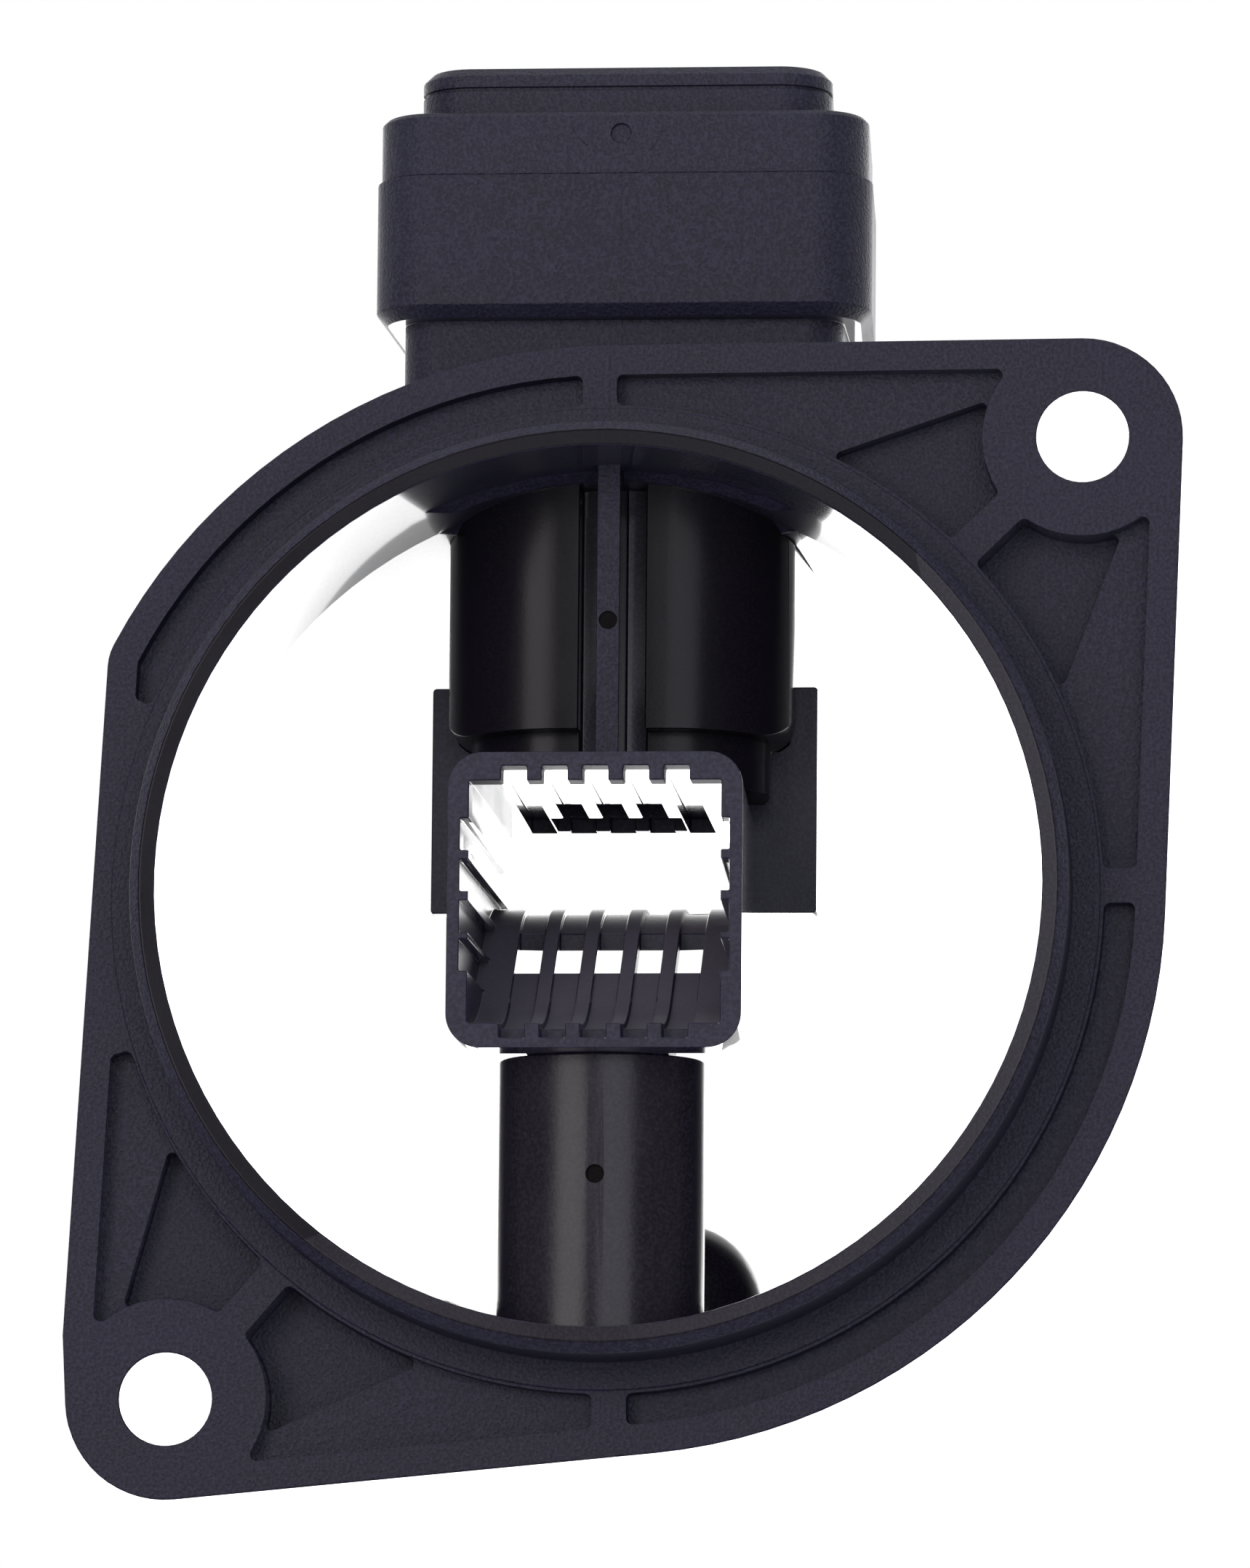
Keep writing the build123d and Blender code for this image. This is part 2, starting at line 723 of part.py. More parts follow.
# Gasket round the tongue, under the head
with BuildPart() as carrier_gasket:
    with BuildSketch(level(tray_floor_z)):
        with Locations((0, column_y)):
            Rectangle(2 * (carrier_half + gasket_width), carrier_t + 2 * gasket_width)
            Rectangle(2 * carrier_half, carrier_t, mode=Mode.SUBTRACT)
    extrude(amount=-gasket_t)
save(carrier_gasket.part, "carrier_gasket")

# Heated film and reference film on the tongue's upstream face
for name, side in (("heated_film", 1), ("reference_film", -1)):
    with BuildPart() as film:
        with BuildSketch(front(column_y - carrier_t / 2)):
            with Locations((side * film_spacing / 2, film_z)):
                Rectangle(film_width, film_height)
        extrude(amount=film_t)
    save(film.part, name)

# Bond strips from the carrier's head to the board
for i in range(strip_count):
    with BuildPart() as bond_strip:
        with Locations(((i - (strip_count - 1) / 2) * strip_pitch, column_y, board_top_z)):
            Box(
                strip_width,
                board_front_y + strip_reach - column_y,
                strip_t,
                align=(Align.CENTER, Align.MIN, Align.MIN),
            )
    save(bond_strip.part, f"bond_strip_{i + 1}")

# Intake-air thermistor on two leads below the tongue
thermistor_top_z = carrier_bottom_z - lead_length
with BuildPart() as air_thermistor:
    with Locations((0, column_y, thermistor_top_z)):
        Cylinder(thermistor_r, thermistor_height, align=(Align.CENTER, Align.CENTER, Align.MAX))
save(air_thermistor.part, "air_thermistor")
for i, side in enumerate((-1, 1)):
    with BuildPart() as lead:
        with Locations((side * lead_spacing / 2, column_y, thermistor_top_z)):
            Cylinder(lead_r, lead_length, align=(Align.CENTER, Align.CENTER, Align.MIN))
    save(lead.part, f"thermistor_lead_{i + 1}")
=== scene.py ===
"""Looks of a moulded mass airflow sensor: its finishes, edge rounding and small moulding marks."""

import logging
import math
from dataclasses import dataclass, field
from enum import Enum
from typing import ClassVar

import bmesh
import bpy
from mathutils import Matrix, Vector
from mathutils.geometry import intersect_point_line

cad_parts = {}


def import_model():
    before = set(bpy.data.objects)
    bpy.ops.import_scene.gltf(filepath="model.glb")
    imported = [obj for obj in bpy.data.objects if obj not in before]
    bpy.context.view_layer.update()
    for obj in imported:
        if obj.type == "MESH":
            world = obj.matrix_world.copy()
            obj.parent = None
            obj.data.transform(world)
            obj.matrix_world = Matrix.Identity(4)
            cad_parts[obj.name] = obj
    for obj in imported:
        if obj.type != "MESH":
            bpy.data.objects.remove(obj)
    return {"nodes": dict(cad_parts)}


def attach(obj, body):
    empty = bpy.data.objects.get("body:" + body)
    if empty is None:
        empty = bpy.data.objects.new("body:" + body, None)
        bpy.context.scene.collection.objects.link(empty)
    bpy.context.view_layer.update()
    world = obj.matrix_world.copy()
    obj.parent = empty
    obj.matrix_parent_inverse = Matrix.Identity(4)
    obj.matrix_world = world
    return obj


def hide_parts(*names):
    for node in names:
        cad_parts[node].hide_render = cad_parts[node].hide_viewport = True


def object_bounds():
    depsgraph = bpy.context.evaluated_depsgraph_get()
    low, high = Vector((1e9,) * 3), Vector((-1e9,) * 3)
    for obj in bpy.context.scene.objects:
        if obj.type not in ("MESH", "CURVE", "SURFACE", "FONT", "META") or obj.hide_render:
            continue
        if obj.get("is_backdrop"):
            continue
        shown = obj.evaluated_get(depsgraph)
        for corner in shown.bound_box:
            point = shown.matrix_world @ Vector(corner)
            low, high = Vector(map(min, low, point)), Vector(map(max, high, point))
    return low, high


MM = 0.001
ROOT = "root"
WEIGHT_LAYER = "bevel_weight_edge"

Colour = tuple[float, float, float]
Stretch = tuple[float, float, float]
Span = tuple[float, float]
Socket = bpy.types.NodeSocket

RANGE_SOCKETS = ("From Min", "From Max", "To Min", "To Max")

# Most of a noise pattern lies in this part of its range of 0 to 1.
NOISE_SPAN: Span = (0.3, 0.7)

log = logging.getLogger("airflow_sensor")


class Zone(Enum):
    """Kinds of face on a moulding, numbered as the piece's material slots.

    Attributes:
        GRAINED: Faces with the grain of the mould's steel.
        DRAWN: Glossy faces, which slid along the steel as the mould opened.
        SATIN: Faces of smoother steel.
        SPECIAL: The housing's pin marks, or the flow channel's ramp, whose lighter colour is
            painted light.
        SHADED: The upper column's smooth lobes, coloured darker as painted shade for the duct's
            shadow that they lie in.
    """

    GRAINED = 0
    DRAWN = 1
    SATIN = 2
    SPECIAL = 3
    SHADED = 4


class Graph:
    """A short way to add and link shader nodes in one material."""

    def __init__(self, name: str) -> None:
        """Starts a material with a principled shader and an output.

        Args:
            name: The material's name.
        """
        self.material = bpy.data.materials.new(name)
        self.material.use_nodes = True
        self.tree = self.material.node_tree
        self.tree.nodes.clear()
        self.output = self.tree.nodes.new("ShaderNodeOutputMaterial")
        self.shader = self.tree.nodes.new("ShaderNodeBsdfPrincipled")
        self.tree.links.new(self.shader.outputs[0], self.output.inputs[0])
        self.coords = self.tree.nodes.new("ShaderNodeTexCoord").outputs["Object"]

    def set(self, **values: float | tuple[float, ...]) -> None:
        """Sets plain values on the shader's sockets.

        Args:
            values: Socket names with spaces written as underscores, and their values.
        """
        for name, value in values.items():
            self.shader.inputs[name.replace("_", " ")].default_value = value

    def link(self, source: Socket, socket: str) -> None:
        """Links a socket to one of the shader's inputs."""
        self.tree.links.new(source, self.shader.inputs[socket])

    def place(self) -> tuple[Socket, Socket, Socket]:
        """Splits the piece's coordinates.

        Returns:
            X, Y and Z in metres.
        """
        split = self.tree.nodes.new("ShaderNodeSeparateXYZ")
        self.tree.links.new(self.coords, split.inputs[0])
        return split.outputs["X"], split.outputs["Y"], split.outputs["Z"]

    def maths(self, operation: str, *values: Socket | float) -> Socket:
        """Adds a Math node.

        Args:
            operation: The node's operation.
            values: Its inputs in order.

        Returns:
            The node's output socket.
        """
        node = self.tree.nodes.new("ShaderNodeMath")
        node.operation = operation
        for socket, value in zip(node.inputs, values):
            if isinstance(value, Socket):
                self.tree.links.new(value, socket)
            else:
                socket.default_value = value
        return node.outputs[0]

    def noise(self, cell_mm: float, detail: float = 2.0, stretch: Stretch = (1, 1, 1)) -> Socket:
        """Adds a noise pattern on Object coordinates.

        Args:
            cell_mm: Size of the pattern's cells in millimetres.
            detail: Number of finer layers.
            stretch: How many times longer the cells are along X, Y and Z.

        Returns:
            The pattern's value socket.
        """
        mapping = self.tree.nodes.new("ShaderNodeMapping")
        mapping.inputs["Scale"].default_value = [1 / (MM * cell_mm * s) for s in stretch]
        self.tree.links.new(self.coords, mapping.inputs["Vector"])
        node = self.tree.nodes.new("ShaderNodeTexNoise")
        node.inputs["Scale"].default_value = 1.0
        node.inputs["Detail"].default_value = detail
        self.tree.links.new(mapping.outputs[0], node.inputs["Vector"])
        return node.outputs["Fac"]

    def remap(self, value: Socket, source: Span, target: Span) -> Socket:
        """Maps a value from one range to another, clamped.

        Args:
            value: The value to map.
            source: The range it has.
            target: The range it gets.

        Returns:
            The mapped value's socket.
        """
        node = self.tree.nodes.new("ShaderNodeMapRange")
        node.clamp = True
        self.tree.links.new(value, node.inputs["Value"])
        for name, number in zip(RANGE_SOCKETS, (*source, *target)):
            node.inputs[name].default_value = number
        return node.outputs[0]

    def blend(self, amount: Socket, low: Colour | Socket, high: Colour) -> Socket:
        """Blends two colours.

        Args:
            amount: 0 for the low colour, 1 for the high one.
            low: The first colour, or a socket that gives it.
            high: The second colour.

        Returns:
            The blended colour's socket.
        """
        node = self.tree.nodes.new("ShaderNodeMix")
        node.data_type = "RGBA"
        self.tree.links.new(amount, node.inputs["Factor"])
        first, second = [socket for socket in node.inputs if socket.type == "RGBA"]
        if isinstance(low, Socket):
            self.tree.links.new(low, first)
        else:
            first.default_value = (*low, 1)
        second.default_value = (*high, 1)
        return next(socket for socket in node.outputs if socket.type == "RGBA")

    def bump(self, height: Socket, depth_mm: float, after: Socket | None = None) -> Socket:
        """Adds a Bump node.

        Args:
            height: The height pattern, 0 to 1.
            depth_mm: Height of the pattern in millimetres.
            after: The normal that the bump is added to.

        Returns:
            The normal's socket.
        """
        node = self.tree.nodes.new("ShaderNodeBump")
        node.inputs["Strength"].default_value = 1.0
        node.inputs["Distance"].default_value = depth_mm * MM
        self.tree.links.new(height, node.inputs["Height"])
        if after is not None:
            self.tree.links.new(after, node.inputs["Normal"])
        return node.outputs[0]


def larger(tree: bpy.types.NodeTree, first: Socket, second: Socket) -> Socket:
    """Adds a node that gives the larger of two values.

    Args:
        tree: The node tree that it goes in.
        first: One value.
        second: The other value.

    Returns:
        The node's output socket.
    """
    node = tree.nodes.new("ShaderNodeMath")
    node.operation = "MAXIMUM"
    tree.links.new(first, node.inputs[0])
    tree.links.new(second, node.inputs[1])
    return node.outputs[0]


@dataclass(frozen=True, kw_only=True)
class FrontLine:
    """A thin dark line on a moulding's front. Sizes are in millimetres.

    Attributes:
        above: Height that the faces with the line lie above.
        ahead: Depth that they lie ahead of.
        width: From the line's middle to where it has faded out.
        strength: How much of the line's colour shows.
        core_share: Share of the width that has the full colour.
    """

    above: float
    ahead: float
    width: float = 0.05
    strength: float = 0.4
    core_share: ClassVar[float] = 0.3

    def distance(self, g: Graph) -> Socket:
        """Works out how far each point lies from the line; each kind of line has its own way."""
        raise NotImplementedError

    def region(self, g: Graph) -> Socket:
        """Marks the faces that the line is drawn on.

        Args:
            g: The material's graph.

        Returns:
            1 on those faces and 0 elsewhere.
        """
        _, y, z = g.place()
        high = g.maths("GREATER_THAN", z, self.above * MM)
        return g.maths("MULTIPLY", high, g.maths("LESS_THAN", y, self.ahead * MM))

    def mask(self, g: Graph) -> Socket:
        """Adds the line's mask.

        Args:
            g: The material's graph.

        Returns:
            The line's strength on it and 0 elsewhere.
        """
        fade = (self.core_share * self.width * MM, self.width * MM)
        line = g.remap(self.distance(g), fade, (self.strength, 0.0))
        return g.maths("MULTIPLY", line, self.region(g))


@dataclass(frozen=True, kw_only=True)
class ArcMark(FrontLine):
    """An arc, such as a flow mark beside a moulding gate."""

    centre: Span
    radius: float
    span: Span
    width: float = 0.055
    strength: float = 0.6

    def distance(self, g: Graph) -> Socket:
        """Works out how far each point lies from the arc's circle.

        Args:
            g: The material's graph.

        Returns:
            The distance in metres.
        """
        x, _, z = g.place()
        across = g.maths("SUBTRACT", x, self.centre[0] * MM)
        up = g.maths("SUBTRACT", z, self.centre[1] * MM)
        squares = g.maths("ADD", g.maths("MULTIPLY", across, across), g.maths("MULTIPLY", up, up))
        return g.maths("ABSOLUTE", g.maths("SUBTRACT", g.maths("SQRT", squares), self.radius * MM))

    def region(self, g: Graph) -> Socket:
        """Marks the front faces between the arc's two ends.

        Args:
            g: The material's graph.

        Returns:
            1 on those faces and 0 elsewhere.
        """
        x = g.place()[0]
        inside = g.maths("GREATER_THAN", x, self.span[0] * MM)
        inside = g.maths("MULTIPLY", inside, g.maths("LESS_THAN", x, self.span[1] * MM))
        return g.maths("MULTIPLY", inside, super().region(g))


@dataclass(frozen=True, kw_only=True)
class SeamMark(FrontLine):
    """The upright parting line of two mould halves."""

    x: float

    def distance(self, g: Graph) -> Socket:
        """Works out how far each point lies to the side of the seam."""
        return g.maths("ABSOLUTE", g.maths("SUBTRACT", g.place()[0], self.x * MM))


@dataclass(frozen=True)
class MouldedBlack:
    """Black glass-filled plastic with the texture of the mould's steel.

    Attributes:
        name: The material's name.
        colour: The plastic's colour.
        worn: The colour of its paler grains and spots.
        rough: Its roughness.
        grain_mm: Size of the grain's cells.
        grain_depth_mm: Depth of the grain.
        specular: The shader's specular level.
        drawn_depth_mm: Depth of the marks that run along the bore.
        coat: Gloss of the skin that the mould's polished steel leaves.
        roof_mm: Heights between which the wall turns rougher towards the top.
        marks: Lines left by the mould.
    """

    name: str
    colour: Colour = (0.0145, 0.0136, 0.0320)
    worn: Colour = (0.0370, 0.0355, 0.0740)
    rough: float = 0.50
    grain_mm: float = 0.26
    grain_depth_mm: float = 0.11
    specular: float = 0.5
    drawn_depth_mm: float = 0.0
    coat: float = 0.0
    roof_mm: Span | None = None
    marks: tuple[FrontLine, ...] = ()

    roof_rough: ClassVar[float] = 0.55
    coat_rough: ClassVar[float] = 0.06
    ior: ClassVar[float] = 1.5
    rough_drift: ClassVar[Span] = (-0.03, 0.04)
    cloud_mm: ClassVar[float] = 9.0
    speck_mm: ClassVar[float] = 0.5
    draw_mark_mm: ClassVar[float] = 0.5
    draw_mark_stretch: ClassVar[Stretch] = (1, 14, 1)
    cloud_wear: ClassVar[tuple[Span, Span]] = ((0.35, 0.7), (0.0, 0.2))
    speck_wear: ClassVar[tuple[Span, Span]] = ((0.62, 0.75), (0.0, 0.3))
    grain_wear: ClassVar[tuple[Span, Span]] = ((0.42, 0.64), (0.0, 0.6))
    line_colour: ClassVar[Colour] = (0.004, 0.0036, 0.005)
    line_depth_mm: ClassVar[float] = 0.02

    def material(self) -> bpy.types.Material:
        """Builds the node material.

        Returns:
            The finished material.
        """
        g = Graph(self.name)
        clouds = g.noise(self.cloud_mm, 3.0)
        specks = g.noise(self.speck_mm, 1.0)
        grain = g.noise(self.grain_mm)
        spots = g.maths("ADD", g.remap(specks, *self.speck_wear), g.remap(grain, *self.grain_wear))
        wear = g.maths("ADD", g.remap(clouds, *self.cloud_wear), spots)
        colour = g.blend(wear, self.colour, self.worn)
        smoother, rougher = self.rough_drift
        level = g.remap(clouds, NOISE_SPAN, (self.rough + smoother, self.rough + rougher))
        if self.roof_mm:
            start, end = self.roof_mm
            roof = g.remap(g.place()[2], (start * MM, end * MM), (0.0, self.roof_rough))
            level = g.maths("MAXIMUM", level, roof)
        normal = g.bump(grain, self.grain_depth_mm)
        if self.drawn_depth_mm:
            drawn = g.noise(self.draw_mark_mm, stretch=self.draw_mark_stretch)
            normal = g.bump(drawn, self.drawn_depth_mm, normal)
        for mark in self.marks:
            mask = mark.mask(g)
            colour = g.blend(mask, colour, self.line_colour)
            normal = g.bump(g.maths("SUBTRACT", 1.0, mask), self.line_depth_mm, normal)
        g.link(colour, "Base Color")
        g.link(level, "Roughness")
        g.link(normal, "Normal")
        g.set(
            IOR=self.ior,
            Specular_IOR_Level=self.specular,
            Coat_Weight=self.coat,
            Coat_Roughness=self.coat_rough,
        )
        return g.material


@dataclass(frozen=True)
class PlainFinish:
    """A finish with one colour that drifts a little, a roughness, and a fine surface pattern."""

    name: str
    colour: Colour
    drift: Colour
    roughness: float
    metallic: float = 0.0
    cell_mm: float = 0.4
    depth_mm: float = 0.006
    stretch: Stretch = (1, 1, 1)

    cloud_cells: ClassVar[float] = 6.0
    rough_drift: ClassVar[Span] = (-0.05, 0.07)
    ior: ClassVar[float] = 1.5

    def material(self) -> bpy.types.Material:
        """Builds the node material.

        Returns:
            The finished material.
        """
        g = Graph(self.name)
        pattern = g.noise(self.cell_mm, 3.0, self.stretch)
        clouds = g.remap(g.noise(self.cloud_cells * self.cell_mm), NOISE_SPAN, (0.0, 1.0))
        smoother, rougher = self.rough_drift
        level = g.remap(pattern, NOISE_SPAN, (self.roughness + smoother, self.roughness + rougher))
        g.link(g.blend(clouds, self.colour, self.drift), "Base Color")
        g.link(level, "Roughness")
        g.link(g.bump(pattern, self.depth_mm), "Normal")
        g.set(Metallic=self.metallic, IOR=self.ior)
        return g.material


SILICONE = PlainFinish("silicone", (0.12, 0.035, 0.025), (0.16, 0.05, 0.035), 0.55, cell_mm=0.6)
ROLLED_ALUMINIUM = PlainFinish(
    "rolled_aluminium", (0.66, 0.67, 0.69), (0.72, 0.73, 0.75), 0.35, 1.0, stretch=(12, 1, 1)
)
PRINTED_CERAMIC = PlainFinish(
    "printed_ceramic", (0.78, 0.78, 0.73), (0.84, 0.84, 0.80), 0.6, cell_mm=0.3
)
CHIP_RESIN = PlainFinish("chip_resin", (0.02, 0.02, 0.021), (0.03, 0.03, 0.031), 0.5, cell_mm=0.12)
FIRED_CERAMIC = PlainFinish(
    "fired_ceramic", (0.45, 0.31, 0.18), (0.52, 0.37, 0.22), 0.45, cell_mm=0.2
)
RESISTOR_GLAZE = PlainFinish(
    "resistor_glaze", (0.02, 0.021, 0.03), (0.03, 0.032, 0.045), 0.2, cell_mm=0.3
)
BOND_FOIL = PlainFinish("bond_foil", (0.80, 0.80, 0.81), (0.86, 0.86, 0.87), 0.25, 1.0, cell_mm=0.2)
FILM_GLAZE = PlainFinish("film_glaze", (0.03, 0.10, 0.06), (0.04, 0.14, 0.09), 0.2, cell_mm=0.25)
GLASS_BEAD = PlainFinish("glass_bead", (0.20, 0.06, 0.02), (0.26, 0.09, 0.03), 0.12, cell_mm=0.5)
TINNED_BRASS = PlainFinish(
    "tinned_brass", (0.70, 0.68, 0.63), (0.77, 0.75, 0.71), 0.28, 1.0, stretch=(1, 12, 1)
)
DRAWN_WIRE = PlainFinish(
    "drawn_wire", (0.68, 0.67, 0.65), (0.74, 0.73, 0.71), 0.25, 1.0, stretch=(1, 1, 10)
)
CARRIER_BLACK = PlainFinish(
    "carrier_black", (0.022, 0.021, 0.023), (0.03, 0.029, 0.032), 0.42, cell_mm=0.25
)


@dataclass
class Moulding:
    """A piece that keeps its solid's shape and gets the real moulding's rounded edges.

    The solid's triangles are merged and its flat faces made whole before the edges are rounded.
    Sizes are in millimetres.

    Attributes:
        node: The solid that the piece stands for.
        finishes: One finish for each zone of faces.
        edge: Width of a common edge's rounding.
        chamfer_edge: Width of the rounding on a chamfer's edges.
        chamfer_above: Height above which a chamfer's edges get that width.
        chamfer_turn: How far a chamfer's edge turns, in degrees.
        room_share: How much of the distance to a line opposite a rounding may take.
        opposed: Cosine below which two lines of a face count as opposite each other.
        turned: Sine above which two edges at a corner count as turned from each other.
        smooth_run: Cosine above which two edges at a corner count as one run.
        crisp_behind: Depth behind which edges stay sharp.
        edge_segments: Number of strips in a rounding.
        sharp_degrees: Least turn of an edge that gets a rounding.
        flat_degrees: Most turn between triangles of one flat face.
        flat_weight: How much a flat face's size counts in the shading beside it.
        merge: Distance under which points are one.
        facing: Least cosine at which a face counts as turned to a direction.
    """

    node: str
    finishes: tuple[MouldedBlack, ...]
    edge: float = 0.16
    chamfer_edge: float = 0.55
    chamfer_above: float = 45.0
    chamfer_turn: Span = (35.0, 55.0)
    room_share: float = 0.42
    opposed: float = -0.3
    turned: float = 0.44
    smooth_run: float = 0.8
    crisp_behind: float = math.inf
    edge_segments: int = 3
    sharp_degrees: float = 28.0
    flat_degrees: float = 0.4
    flat_weight: int = 50
    merge: float = 0.0015
    facing: float = 0.9

    def zone(self, face: bmesh.types.BMFace) -> Zone:
        """Says which finish a face gets.

        Args:
            face: A face of the merged mesh.

        Returns:
            The face's zone.
        """
        return Zone.GRAINED

    def shape(self, work: bmesh.types.BMesh) -> None:
        """Changes the merged mesh where a moulding needs it; a plain one keeps its solid's."""

    def measure_room(self, face: bmesh.types.BMFace, room: dict[bmesh.types.BMEdge, float]) -> None:
        """Measures how far the edges of a face are from the lines opposite them.

        Args:
            face: A face of the merged mesh.
            room: The smallest distance found for each edge so far, in millimetres.
        """
        sides = [
            (loop.edge, loop.vert.co / MM, loop.link_loop_next.vert.co / MM) for loop in face.loops
        ]
        runs = [(end - start).normalized() for _, start, end in sides]
        for (edge, start, end), run in zip(sides, runs):
            if edge not in room:
                continue
            middle = (start + end) / 2
            for (other, first, last), opposite in zip(sides, runs):
                if run.dot(opposite) < self.opposed:
                    share = intersect_point_line(middle, first, last)[1]
                    point = first.lerp(last, min(max(share, 0.0), 1.0))
                    distance = (point - middle).length
                    room[edge] = min(room[edge], distance)
                    if other in room:
                        room[other] = min(room[other], distance)

    def rounding(self, edge: bmesh.types.BMEdge, room: float) -> float:
        """Works out how wide an edge's rounding is, within the room that its neighbours leave.

        Args:
            edge: A sharp edge of the merged mesh.
            room: Distance to the nearest line opposite it, in millimetres.

        Returns:
            The rounding's width in millimetres.
        """
        turn = math.degrees(edge.calc_face_angle())
        height = (edge.verts[0].co.z + edge.verts[1].co.z) / 2 / MM
        soft = height > self.chamfer_above and self.chamfer_turn[0] < turn < self.chamfer_turn[1]
        width = min(self.chamfer_edge if soft else self.edge, self.room_share * room)
        along = (edge.verts[1].co - edge.verts[0].co).normalized()
        for vert in edge.verts:
            for other in vert.link_edges:
                across = (other.verts[1].co - other.verts[0].co).cross(along).length
                if across > self.turned * other.calc_length():
                    width = min(width, self.room_share * across / MM)
        return width

    def even_out(self, widths: dict[bmesh.types.BMEdge, float]) -> None:
        """Gives each smooth run of edges its narrowest edge's rounding.

        Args:
            widths: The rounding of each sharp edge in millimetres.
        """
        waiting = set(widths)
        while waiting:
            run = [waiting.pop()]
            for edge in run:
                along = (edge.verts[1].co - edge.verts[0].co).normalized()
                for other in [e for vert in edge.verts for e in vert.link_edges if e in waiting]:
                    onward = (other.verts[1].co - other.verts[0].co).normalized()
                    if abs(along.dot(onward)) > self.smooth_run:
                        waiting.discard(other)
                        run.append(other)
            narrowest = min(widths[edge] for edge in run)
            for edge in run:
                widths[edge] = narrowest

    def merged(self, mesh: bpy.types.Mesh) -> bmesh.types.BMesh:
        """Merges the solid's loose triangles and makes its flat faces whole.

        Args:
            mesh: A copy of the solid's mesh.

        Returns:
            The merged mesh.
        """
        work = bmesh.new()
        work.from_mesh(mesh)
        bmesh.ops.remove_doubles(work, verts=work.verts, dist=self.merge * MM)
        bmesh.ops.dissolve_degenerate(work, dist=self.merge * MM, edges=work.edges)
        bmesh.ops.dissolve_limit(
            work,
            angle_limit=math.radians(self.flat_degrees),
            verts=work.verts,
            edges=work.edges,
            use_dissolve_boundaries=False,
        )
        return work

    def mark_edges(self, work: bmesh.types.BMesh) -> None:
        """Writes each sharp edge's rounding into the mesh, or leaves the edge crisp.

        Args:
            work: The merged mesh.
        """
        weights = work.edges.layers.float.new(WEIGHT_LAYER)
        sharp = math.radians(self.sharp_degrees)
        room = {edge: math.inf for edge in work.edges if edge.calc_face_angle(0.0) > sharp}
        for face in work.faces:
            self.measure_room(face, room)
        widths = {edge: self.rounding(edge, distance) for edge, distance in room.items()}
        self.even_out(widths)
        for edge, width in widths.items():
            if max(vert.co.y for vert in edge.verts) > self.crisp_behind * MM:
                edge.smooth = False
            else:
                edge[weights] = width

    def add_modifiers(self, piece: bpy.types.Object) -> None:
        """Adds the rounding, and the shading that keeps flat faces flat beside it.

        Args:
            piece: The piece, whose edges hold their roundings in millimetres.
        """
        bevel = piece.modifiers.new("rounded_edges", "BEVEL")
        bevel.width = MM
        bevel.segments = self.edge_segments
        bevel.limit_method = "WEIGHT"
        bevel.use_clamp_overlap = False
        bevel.loop_slide = False
        bevel.miter_outer = "MITER_ARC"
        level = piece.modifiers.new("flat_faces", "WEIGHTED_NORMAL")
        level.mode = "FACE_AREA"
        level.weight = self.flat_weight
        level.keep_sharp = True

    def build(self, nodes: dict[str, bpy.types.Object]) -> bpy.types.Object:
        """Builds the rounded piece in the solid's place and dresses its faces.

        Args:
            nodes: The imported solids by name.

        Returns:
            The new piece, riding on the part's only body.
        """
        mesh = nodes[self.node].data.copy()
        mesh.materials.clear()
        mesh.name = f"{self.node}_moulding"
        work = self.merged(mesh)
        self.shape(work)
        for face in work.faces:
            face.normal_update()
            face.smooth = True
            face.material_index = self.zone(face).value
        self.mark_edges(work)
        work.to_mesh(mesh)
        work.free()
        piece = bpy.data.objects.new(mesh.name, mesh)
        bpy.context.scene.collection.objects.link(piece)
        self.add_modifiers(piece)
        for finish in self.finishes:
            mesh.materials.append(finish.material())
        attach(piece, ROOT)
        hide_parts(self.node)
        log.info("%s: %d faces, %d finishes", piece.name, len(mesh.polygons), len(self.finishes))
        return piece


